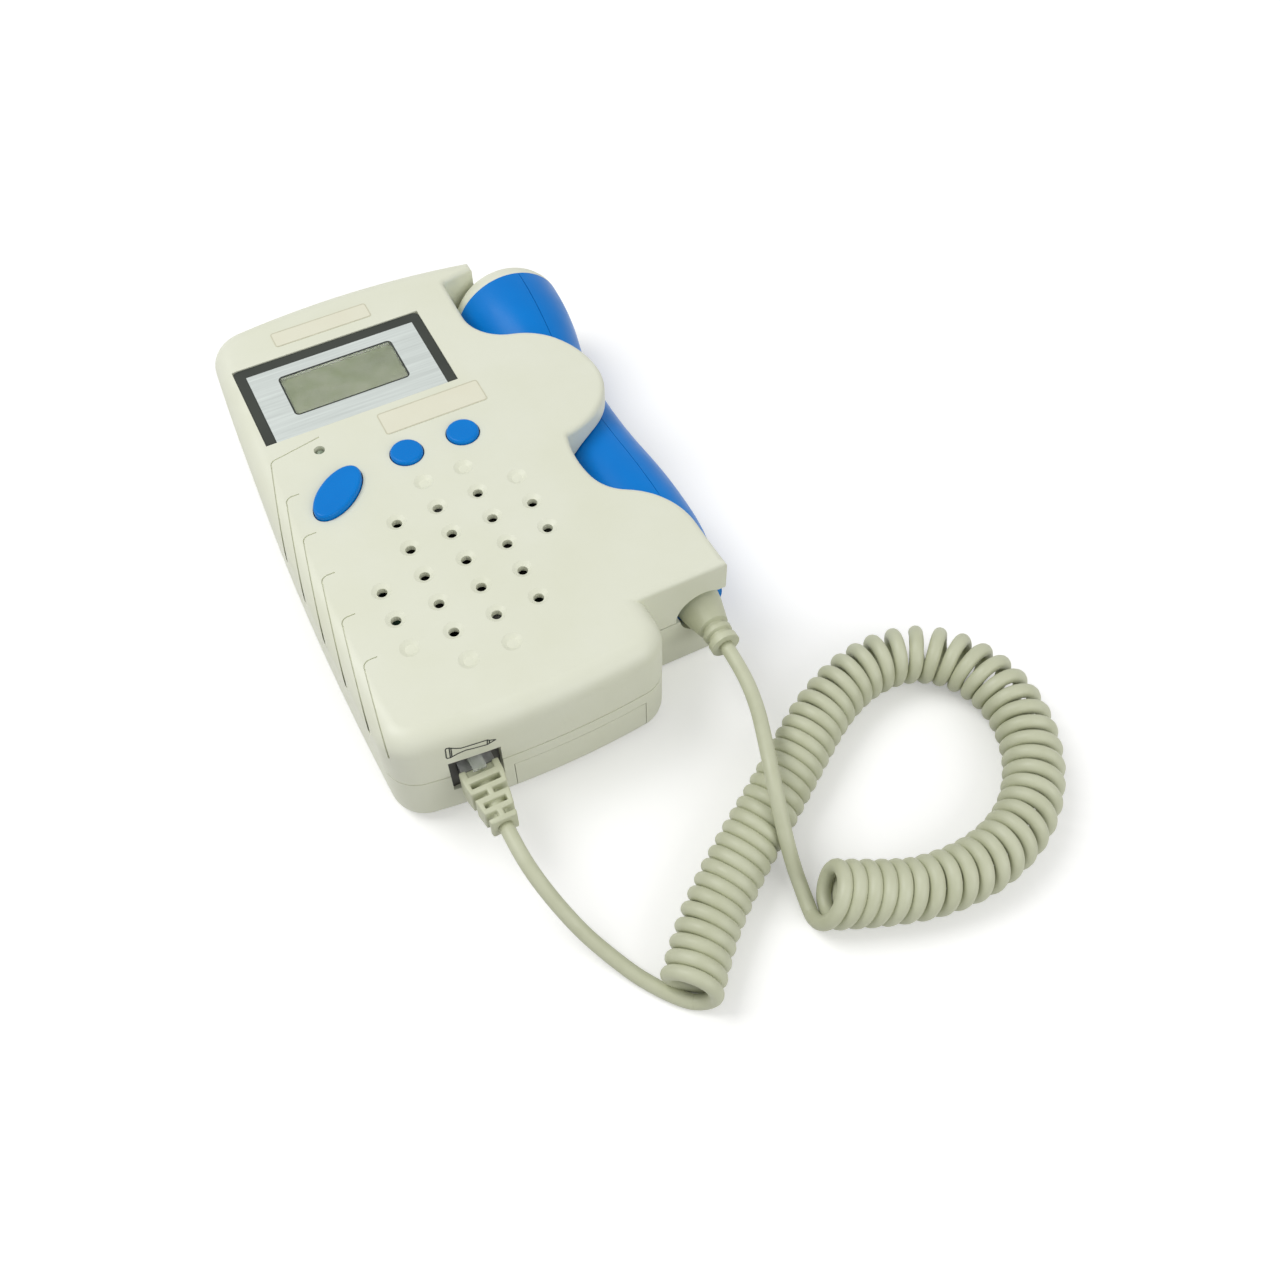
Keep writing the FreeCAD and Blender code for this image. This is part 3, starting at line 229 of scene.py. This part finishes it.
def ranged(tree, value, source, target):
    """Maps the values of one range to another."""
    node = tree.nodes.new("ShaderNodeMapRange")
    node.inputs["From Min"].default_value = source[0]
    node.inputs["From Max"].default_value = source[1]
    node.inputs["To Min"].default_value = target[0]
    node.inputs["To Max"].default_value = target[1]
    tree.links.new(value, node.inputs["Value"])
    return node.outputs["Result"]


def blend_colours(tree, value, first, second):
    """A colour that goes from the first web colour to the second with a noise value."""
    mix = tree.nodes.new("ShaderNodeMix")
    mix.data_type = "RGBA"
    mix.inputs["A"].default_value = srgb(first)
    mix.inputs["B"].default_value = srgb(second)
    tree.links.new(ranged(tree, value, NOISE_RANGE, (0, 1)), mix.inputs["Factor"])
    return mix.outputs["Result"]


def bump(tree, shader, value, depth_mm, strength=1):
    node = tree.nodes.new("ShaderNodeBump")
    node.inputs["Strength"].default_value = strength
    node.inputs["Distance"].default_value = depth_mm * MM
    tree.links.new(value, node.inputs["Height"])
    tree.links.new(node.outputs["Normal"], shader.inputs["Normal"])


# ---------------------------------------------------------------- floor, in metres

FLOOR_HALF = 6
PAPER_BLOTCH_MM = 60

# The floor's own glow rises from the first strength to the second between these distances from the origin.
GLOW_DISTANCES = (0.25, 0.9)
GLOW_STRENGTHS = (0.25, 0.6)


def make_floor():
    mesh = bpy.data.meshes.new("floor")
    corners = [(FLOOR_HALF * x, FLOOR_HALF * y, 0) for x, y in ((-1, -1), (1, -1), (1, 1), (-1, 1))]
    mesh.from_pydata(corners, [], [(0, 1, 2, 3)])
    floor_material()
    mesh.materials.append(paints["pale_floor"])
    scene_object("floor", mesh)


def floor_material():
    """Matt paper: white to the camera, with the object's soft shadow, and grey to the light that it bounces.

    Its glow is weak round the object, where the shadow is, and keeps it white where little lamp light falls.
    """
    tree, shader = new_material("pale_floor")
    seen = seen_directly(tree)
    colour = tree.nodes.new("ShaderNodeMix")
    colour.data_type = "RGBA"
    colour.inputs["A"].default_value = srgb("#b9b9b4")
    paper = blend_colours(tree, noise(tree, PAPER_BLOTCH_MM, detail=2), "#f6f6f5", "#fafaf9")
    tree.links.new(paper, colour.inputs["B"])
    tree.links.new(seen, colour.inputs["Factor"])
    tree.links.new(colour.outputs["Result"], shader.inputs["Base Color"])
    distance = tree.nodes.new("ShaderNodeVectorMath")
    distance.operation = "LENGTH"
    tree.links.new(object_place(tree), distance.inputs[0])
    glow = ranged(tree, distance.outputs["Value"], GLOW_DISTANCES, GLOW_STRENGTHS)
    tree.links.new(maths(tree, "MULTIPLY", seen, glow), shader.inputs["Emission Strength"])
    shader.inputs["Emission Color"].default_value = WHITE
    shader.inputs["Roughness"].default_value = 0.9
    shader.inputs["Specular IOR Level"].default_value = 0.1


# ---------------------------------------------------------------- materials

ACRYLIC_IOR = 1.49
FLOW_MM = 4
RIPPLE_MM = 1.2
STREAK_MM = 0.6
STREAK_STRETCH = (0.03, 1, 1)
LCD_DRIFT_MM = 14
LCD_ROWS_MM = 2.4


def moulded(name, first, second, rough, grain, blotch=18, metal=0, gloss=0.5):
    """A moulded or coated surface with slow colour drift, uneven roughness and a fine grain.

    The grain is its (size, depth), and like the colour's blotch it is in mm.
    """
    tree, shader = new_material(name)
    drift = noise(tree, blotch, detail=4)
    tree.links.new(blend_colours(tree, drift, first, second), shader.inputs["Base Color"])
    wear = noise(tree, blotch / 3, detail=3)
    tree.links.new(ranged(tree, wear, NOISE_RANGE, rough), shader.inputs["Roughness"])
    shader.inputs["Metallic"].default_value = metal
    shader.inputs["Specular IOR Level"].default_value = gloss
    grain_mm, depth_mm = grain
    bump(tree, shader, noise(tree, grain_mm, detail=2), depth_mm)


def clear(name, tint, roughness, clearness):
    """Clear moulded plastic with slow flow marks and a faint ripple."""
    tree, shader = new_material(name)
    flow = noise(tree, FLOW_MM, detail=2)
    tree.links.new(blend_colours(tree, flow, tint, "#ffffff"), shader.inputs["Base Color"])
    shader.inputs["Roughness"].default_value = roughness
    shader.inputs["Transmission Weight"].default_value = clearness
    shader.inputs["IOR"].default_value = ACRYLIC_IOR
    bump(tree, shader, noise(tree, RIPPLE_MM, detail=1), depth_mm=0.02)


def silver_film():
    """Silver film, brushed along the display."""
    tree, shader = new_material("silver_overlay")
    streaks = noise(tree, STREAK_MM, detail=2, stretch=STREAK_STRETCH)
    tree.links.new(blend_colours(tree, streaks, "#c4cbc7", "#d3dad6"), shader.inputs["Base Color"])
    tree.links.new(ranged(tree, streaks, NOISE_RANGE, (0.34, 0.46)), shader.inputs["Roughness"])
    shader.inputs["Metallic"].default_value = 0.35


def lcd_reflector():
    """The grey-green reflector of a switched-off display, with its fine pixel rows."""
    tree, shader = new_material("lcd_glass")
    drift = noise(tree, LCD_DRIFT_MM, detail=2)
    tree.links.new(blend_colours(tree, drift, "#8d9679", "#a2aa8b"), shader.inputs["Base Color"])
    shader.inputs["Roughness"].default_value = 0.3
    wave = tree.nodes.new("ShaderNodeTexWave")
    wave.bands_direction = "Y"
    wave.inputs["Scale"].default_value = 1 / (LCD_ROWS_MM * MM)
    tree.links.new(object_place(tree), wave.inputs["Vector"])
    bump(tree, shader, wave.outputs["Fac"], depth_mm=0.01, strength=0.3)


def make_materials():
    """Every material of the object is named after its slot, but for the two that the label films wear."""
    moulded("ivory_plastic", "#e6e8d6", "#e2e4cf", rough=(0.36, 0.46), grain=(0.3, 0.006))
    moulded("blue_plastic", "#0079d1", "#0080d9", rough=(0.28, 0.38), grain=(0.4, 0.006), gloss=0.15)
    moulded("dark_bezel", "#373b36", "#41453f", rough=(0.35, 0.5), grain=(0.3, 0.01), gloss=0.2)
    silver_film()
    clear("lcd_lens", "#eef2e6", roughness=0.04, clearness=1)
    lcd_reflector()
    moulded("black_plastic", "#26261f", "#33332b", rough=(0.35, 0.55), grain=(0.3, 0.01))
    moulded("dark_rubber", "#262625", "#31312f", rough=(0.7, 0.85), grain=(0.5, 0.03))
    moulded("circuit_board", "#17603a", "#1d7044", rough=(0.3, 0.45), grain=(0.8, 0.02), blotch=3)
    moulded("screw_steel", "#b9bcc0", "#a7aaad", rough=(0.25, 0.4), grain=(0.2, 0.01), blotch=2, metal=1)
    moulded("led_lens", "#7c8a76", "#95a18d", rough=(0.2, 0.3), grain=(0.5, 0.01), blotch=1)
    moulded("speaker_steel", "#9a9da0", "#85888b", rough=(0.3, 0.5), grain=(0.3, 0.01), blotch=5, metal=1)
    moulded("speaker_paper", "#26241f", "#36332c", rough=(0.8, 0.95), grain=(0.5, 0.05), blotch=4)
    moulded("cell_steel", "#3c4146", "#4a5055", rough=(0.25, 0.35), grain=(0.5, 0.01), blotch=12, metal=0.3)
    moulded("contact_steel", "#c9c9c4", "#b5b5b0", rough=(0.2, 0.35), grain=(0.3, 0.01), blotch=3, metal=1)
    moulded("contact_gold", "#dcb565", "#c99f4c", rough=(0.2, 0.3), grain=(0.2, 0.01), blotch=1, metal=1)
    moulded("crystal_ceramic", "#cfcabb", "#beb8a6", rough=(0.4, 0.55), grain=(0.3, 0.02), blotch=3)
    clear("clear_plastic", "#dfe5dc", roughness=0.12, clearness=0.7)
    moulded("label_film", "#e7e6d1", "#e5e3cd", rough=(0.36, 0.42), grain=(0.3, 0.004), blotch=9)
    # Painted shade: the label rims are darker than the films to stand for the shaded step round each label's
    # shallow field.
    moulded("label_edge_shade", "#d4d2bb", "#cbc9b1", rough=(0.4, 0.5), grain=(0.3, 0.004), blotch=3)
    moulded("cord_rubber", "#cccfb4", "#c3c6a9", rough=(0.38, 0.5), grain=(0.3, 0.01), blotch=6)


def paint_nodes():
    """Gives each CAD node the material of its slot."""
    for node, slot in SLOTS.items():
        data = frame["nodes"][node].data
        data.materials.clear()
        data.materials.append(paints[slot])


def paint(piece, slot, look=None):
    """Gives a new piece the slot's material or another look."""
    piece.data.materials.append(paints[look or slot])


def dress(piece, slot, body, look=None):
    """Paints a new piece and lets it ride on a body."""
    paint(piece, slot, look)
    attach(piece, body)


# ---------------------------------------------------------------- mesh and curve helpers

CORNER_STEPS = 6
LINE_STEPS = 8


def nurbs(name, points, steps):
    """A smooth curve with these points as its control points, and this many steps from each to the next."""
    data = bpy.data.curves.new(name, "CURVE")
    data.dimensions = "3D"
    spline = data.splines.new("NURBS")
    spline.points.add(len(points) - 1)
    for control, place in zip(spline.points, points):
        control.co = (*place, 1)
    spline.order_u = 3
    spline.use_endpoint_u = True
    data.resolution_u = steps
    return scene_object(name, data)


def line_of(points):
    """Points along the smooth line that has these as control points."""
    piece = nurbs("guide", points, LINE_STEPS)
    mesh = bpy.data.meshes.new_from_object(piece)
    line = [vertex.co.copy() for vertex in mesh.vertices]
    bpy.data.meshes.remove(mesh)
    bpy.data.objects.remove(piece)
    return line


def mesh_piece(name, bm):
    mesh = bpy.data.meshes.new(name)
    bm.to_mesh(mesh)
    bm.free()
    return scene_object(name, mesh)


def closed_piece(name, bm):
    """A closed mesh as a piece, with its faces turned outward."""
    bmesh.ops.recalc_face_normals(bm, faces=bm.faces)
    return mesh_piece(name, bm)


def bridge(bm, first, second):
    """A band of faces between two closed loops with as many points each."""
    for step in range(len(first)):
        following = (step + 1) % len(first)
        bm.faces.new((first[step], first[following], second[following], second[step]))


def sweep(name, line, radius, sides):
    """A closed tube of this radius along a line of points."""
    bm = bmesh.new()
    across = (line[1] - line[0]).orthogonal().normalized()
    rings = []
    for index, place in enumerate(line):
        before = line[max(index - 1, 0)]
        after = line[min(index + 1, len(line) - 1)]
        along = (after - before).normalized()
        across = (across - along * across.dot(along)).normalized()
        other = along.cross(across)
        ring = []
        for step in range(sides):
            turn = math.tau * step / sides
            ring.append(bm.verts.new(place + (across * math.cos(turn) + other * math.sin(turn)) * radius))
        rings.append(ring)
    for first, second in zip(rings, rings[1:]):
        bridge(bm, first, second)
    for face in bm.faces:
        face.smooth = True
    bm.faces.new(list(reversed(rings[0])))
    bm.faces.new(rings[-1])
    return mesh_piece(name, bm)


def grown(low, high, width):
    """The corners of a rectangle that reaches this much further on each side."""
    return [value - width for value in low], [value + width for value in high]


def rounded_outline(low, high, radius):
    """A rectangle from one (x, y) corner to the other, with rounded corners."""
    middles = (
        (high[0] - radius, high[1] - radius), (low[0] + radius, high[1] - radius),
        (low[0] + radius, low[1] + radius), (high[0] - radius, low[1] + radius),
    )
    points = []
    for corner, (x, y) in enumerate(middles):
        for step in range(CORNER_STEPS + 1):
            turn = math.radians(90 * (corner + step / CORNER_STEPS))
            points.append((x + radius * math.cos(turn), y + radius * math.sin(turn)))
    return points


def loop_at(bm, outline, height):
    """The points of an outline at this height, in mm."""
    return [bm.verts.new(Vector((x, y, height)) * MM) for x, y in outline]


def flat_ring(name, outer, inner, low, high):
    """A closed flat ring between two outlines with as many points each, from height low to high in mm."""
    bm = bmesh.new()
    places = ((outer, low), (outer, high), (inner, high), (inner, low))
    loops = [loop_at(bm, outline, height) for outline, height in places]
    for first, second in zip(loops, loops[1:] + loops[:1]):
        bridge(bm, first, second)
    return closed_piece(name, bm)


def flat_plate(name, outline, low, high):
    """A closed plate with this outline, from height low to high in mm."""
    bm = bmesh.new()
    bottom = loop_at(bm, outline, low)
    top = loop_at(bm, outline, high)
    bm.faces.new(list(reversed(bottom)))
    bm.faces.new(top)
    bridge(bm, bottom, top)
    return closed_piece(name, bm)


# ---------------------------------------------------------------- print and film on the casing, in mm

# How deep a film or a printed line starts in the surface that carries it.
SUNK = 0.1

FACE_Z = box_mm("front_shell")[1].z
# Each label's name and two corners.
LABELS = (
    ("upper_label", (-16.4, 54.6), (9.2, 60)),
    ("lower_label", (-2.3, 13.3), (24, 20.8)),
)
LABEL_CORNER = 0.8
LABEL_EDGE = 0.3
LABEL_HEIGHT = 0.12
FILM_HEIGHT = 0.084

OVERLAY_TOP = box_mm("display_overlay")[1].z
# The printed line runs round the window at this distance.
WINDOW_GAP = 0.06
WINDOW_CORNER = 0.9
WINDOW_LINE = 0.4
WINDOW_LINE_HEIGHT = 0.03

# Each stroke of the symbol, as (x, z) points on the near wall.
SYMBOL_LINES = (
    ((-21.5, 27.3), (-22.1, 27.4), (-22.35, 27), (-22.5, 24.1), (-22.4, 23.7), (-21.7, 23.6)),
    ((-21.5, 27.3), (-21.7, 23.6)),
    ((-21.15, 27.1), (-21.35, 23.7)),
    ((-21.5, 27.3), (-20.3, 26.55), (-19.2, 26), (-17.3, 25.9), (-13.5, 25.75)),
    ((-21.7, 23.6), (-20.1, 24.25), (-18.3, 24.65), (-17.1, 24.4), (-13.7, 24)),
    ((-13.5, 25.75), (-13.7, 24)),
    ((-13.1, 25.35), (-13.2, 24.2)),
    ((-13.5, 25.75), (-13.1, 25.35), (-11.75, 24.8), (-13.2, 24.2), (-13.7, 24)),
)
SYMBOL_WIDTH = 0.28
SYMBOL_STEPS = 6
SYMBOL_SIDES = 8
# The y of a place well in front of the near wall.
BEFORE_WALL = -100


def make_labels():
    """Two bare label films in the shallow fields above the display and above the volume buttons."""
    for name, low, high in LABELS:
        field = rounded_outline(low, high, LABEL_CORNER)
        inside = rounded_outline(*grown(low, high, -LABEL_EDGE), LABEL_CORNER - LABEL_EDGE)
        # The raised rim is real, and its darker material is painted shade of the step round the field.
        edge = flat_ring(name + "_edge", field, inside, FACE_Z - SUNK, FACE_Z + LABEL_HEIGHT)
        dress(edge, "ivory_plastic", "casing", "label_edge_shade")
        film = flat_plate(name + "_film", inside, FACE_Z - SUNK, FACE_Z + FILM_HEIGHT)
        dress(film, "ivory_plastic", "casing", "label_film")


def make_window_line():
    """The dark printed line round the display window."""
    low, high = (corner.xy for corner in box_mm("lcd_window"))
    low, high = grown(low, high, WINDOW_GAP)
    inside = rounded_outline(low, high, WINDOW_CORNER)
    outside = rounded_outline(*grown(low, high, WINDOW_LINE), WINDOW_CORNER + WINDOW_LINE)
    line = flat_ring("window_line", outside, inside, OVERLAY_TOP - SUNK, OVERLAY_TOP + WINDOW_LINE_HEIGHT)
    dress(line, "dark_bezel", "casing")


def on_near_wall(x, z):
    """The place on the casing's near wall at this x and height in mm."""
    shell = frame["nodes"]["front_shell"]
    hit, place = shell.ray_cast(Vector((x, BEFORE_WALL, z)) * MM, Vector((0, 1, 0)))[:2]
    assert hit, "the symbol misses the near wall"
    return place


def make_symbol():
    """A plain outline of a probe, printed above the jack to show what plugs in there."""
    for number, corners in enumerate(SYMBOL_LINES):
        line = []
        for (x1, z1), (x2, z2) in zip(corners, corners[1:]):
            for step in range(SYMBOL_STEPS):
                share = step / SYMBOL_STEPS
                line.append(on_near_wall(x1 + (x2 - x1) * share, z1 + (z2 - z1) * share))
        line.append(on_near_wall(*corners[-1]))
        stroke = sweep("symbol_line_%d" % number, line, SYMBOL_WIDTH / 2 * MM, SYMBOL_SIDES)
        dress(stroke, "dark_bezel", "casing")


# ---------------------------------------------------------------- copies of nodes with rounded edges

BEZEL_FAR = box_mm("display_bezel")[1].y

# Points as near as the first are joined, and as near as the second they count as in line.
WELD_MM = 0.001
CLOSE_MM = 0.01

# Faces are joined below the first angle, edges are hard above the second and shade as sharp above the third.
FLAT_ANGLE = math.radians(2)
HARD_ANGLE = math.radians(30)
SHARP_ANGLE = math.radians(40)


def hard_edge(edge):
    return len(edge.link_faces) == 2 and edge.calc_face_angle() > HARD_ANGLE


def bezel_corner(edge):
    """Whether this is an upright edge at one of the bezel's two outer corners."""
    first, second = (vertex.co / MM for vertex in edge.verts)
    return (first - second).xy.length < CLOSE_MM and first.y > BEZEL_FAR - CLOSE_MM


def soften(node, body, picked, width_mm, segments):
    """Stands for a CAD node with a copy whose picked edges are rounded."""
    bm = bmesh.new()
    bm.from_mesh(frame["nodes"][node].data)
    bmesh.ops.remove_doubles(bm, verts=bm.verts, dist=WELD_MM * MM)
    bmesh.ops.dissolve_limit(bm, angle_limit=FLAT_ANGLE, verts=bm.verts, edges=bm.edges)
    edges = [edge for edge in bm.edges if picked(edge)]
    bmesh.ops.bevel(bm, geom=edges, offset=width_mm * MM, segments=segments, profile=0.5, affect="EDGES")
    for face in bm.faces:
        face.smooth = True
    piece = closed_piece(node + "_soft", bm)
    piece.data.set_sharp_from_angle(angle=SHARP_ANGLE)
    dress(piece, SLOTS[node], body)
    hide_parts(node)


# ---------------------------------------------------------------- cords

# One turn takes this many cord diameters of the coil's line, where it is straight.
TURN_ROOM = 1.02

# Control points in one turn, and the curve's steps from each of them to the next.
TURN_STEPS = 16
CURL_STEPS = 3

# A bend is measured over this many points of the line each way, and its inside counts as at least this share.
BEND_POINTS = 6
LEAST_INSIDE = 0.4

# Degrees: the first turn starts at its lowest point, and the last one ends short of a whole turn.
START_TURN = -90
LAST_SHORT = 10

# Degrees and mm: turns within reach of an end lean away from it, most at the end itself.
START_LEAN = 12
END_LEAN = 29
LEAN_REACH = 60

# Turns within reach of the probe's end, in mm, are wider by up to this share.
END_SLACK = 0.14
SLACK_REACH = 18

LEAD_SIDES = 24
BEVEL_STEPS = 5


def nearness(line, index, end, reach_mm):
    """1 at this end of a line, and falling to 0 at the given reach from it."""
    distance = (line[index] - line[end]).length
    return max(0, 1 - distance / (reach_mm * MM))


def ring_radius(line, index):
    """The radius of the middle of the cord's turns, in metres: the last few turns are slack and wider."""
    return RING_RADIUS * MM * (1 + END_SLACK * nearness(line, index, -1, SLACK_REACH))


def lean(line, index):
    """How far the turns near an end of the coil lean away from it, in radians."""
    at_start = START_LEAN * nearness(line, index, 0, LEAN_REACH)
    at_end = END_LEAN * nearness(line, index, -1, LEAN_REACH)
    return math.radians(at_end - at_start)


def turn_room(line, index):
    """How much of the coil's own line one turn takes: turns touch on the inside of a bend."""
    last = len(line) - 1
    snug = TURN_ROOM * CORD_DIAMETER * MM
    if index == last:
        return snug
    back = line[index] - line[max(index - BEND_POINTS, 0)]
    ahead = line[min(index + BEND_POINTS, last)] - line[index]
    bend = back.angle(ahead) / ((back.length + ahead.length) / 2)
    inside = 1 - bend * RING_RADIUS * MM
    return snug * math.cos(lean(line, index)) / max(inside, LEAST_INSIDE)


def turns_along(line):
    """How many turns the cord has made at each point of the coil's line."""
    turns = [0.0]
    for index in range(1, len(line)):
        step = (line[index] - line[index - 1]).length
        turns.append(turns[-1] + step / turn_room(line, index))
    return turns


def helix_points():
    """The curly stretch as points round the coil's line, from the plug's end to the probe's end."""
    line = line_of(metres((x, y, 0) for x, y in COIL))
    turns = turns_along(line)
    whole = round(turns[-1])
    turn_angle = (whole * math.tau - math.radians(LAST_SHORT)) / turns[-1]
    # The spline runs inside its control points, and this makes up half of that.
    swell = 1 / math.cos(math.pi / TURN_STEPS) ** 0.5
    points = []
    index = 1
    for step in range(whole * TURN_STEPS + 1):
        turned = turns[-1] * step / (whole * TURN_STEPS)
        while index < len(line) - 1 and turns[index] < turned:
            index += 1
        share = (turned - turns[index - 1]) / (turns[index] - turns[index - 1])
        floor_point = line[index - 1].lerp(line[index], share)
        along = (line[index] - line[index - 1]).normalized()
        side = along.cross(UP)
        back = lean(line, index)
        rise = UP * math.cos(back) - along * math.sin(back)
        radius = ring_radius(line, index)
        centre = floor_point + UP * (radius * math.cos(back) + CORD_DIAMETER / 2 * MM)
        angle = math.radians(START_TURN) + turned * turn_angle
        points.append(centre + (side * math.cos(angle) + rise * math.sin(angle)) * radius * swell)
    return points


def lead(name, route, coil_end, node):
    """A straight lead that runs smoothly into the coil."""
    points = metres(route)
    meeting = (coil_end[0] + coil_end[1]) / 2
    line = line_of(points + [coil_end[0], meeting])
    piece = sweep(name, line, CORD_DIAMETER / 2 * MM, LEAD_SIDES)
    paint(piece, "cord_rubber")
    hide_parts(node)
    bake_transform(piece)
    return meeting


def curly_cord(points):
    coil = nurbs("curly_cord", points, CURL_STEPS)
    coil.data.bevel_depth = CORD_DIAMETER / 2 * MM
    coil.data.bevel_resolution = BEVEL_STEPS
    coil.data.use_fill_caps = True
    dress(coil, "cord_rubber", "casing")
    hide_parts("curly_coil")


def make_cords():
    """One real cord as three pieces that meet half-way between the first two points of each coil end."""
    helix = helix_points()
    at_probe = lead("probe_cord", PROBE_LEAD, helix[:-3:-1], "probe_lead")
    at_plug = lead("plug_cord", PLUG_LEAD, helix[:2], "plug_lead")
    curly_cord([at_plug] + helix[1:-1] + [at_probe])


# ---------------------------------------------------------------- the whole scene

make_camera()
for lamp in LAMPS:
    make_lamp(*lamp)
make_world()
make_floor()
make_materials()
paint_nodes()
make_cords()
make_labels()
make_window_line()
make_symbol()
soften("plug_boot", "plug", hard_edge, width_mm=0.35, segments=3)
soften("display_bezel", "casing", bezel_corner, width_mm=1.5, segments=6)

bpy.context.scene.view_settings.view_transform = "Standard"
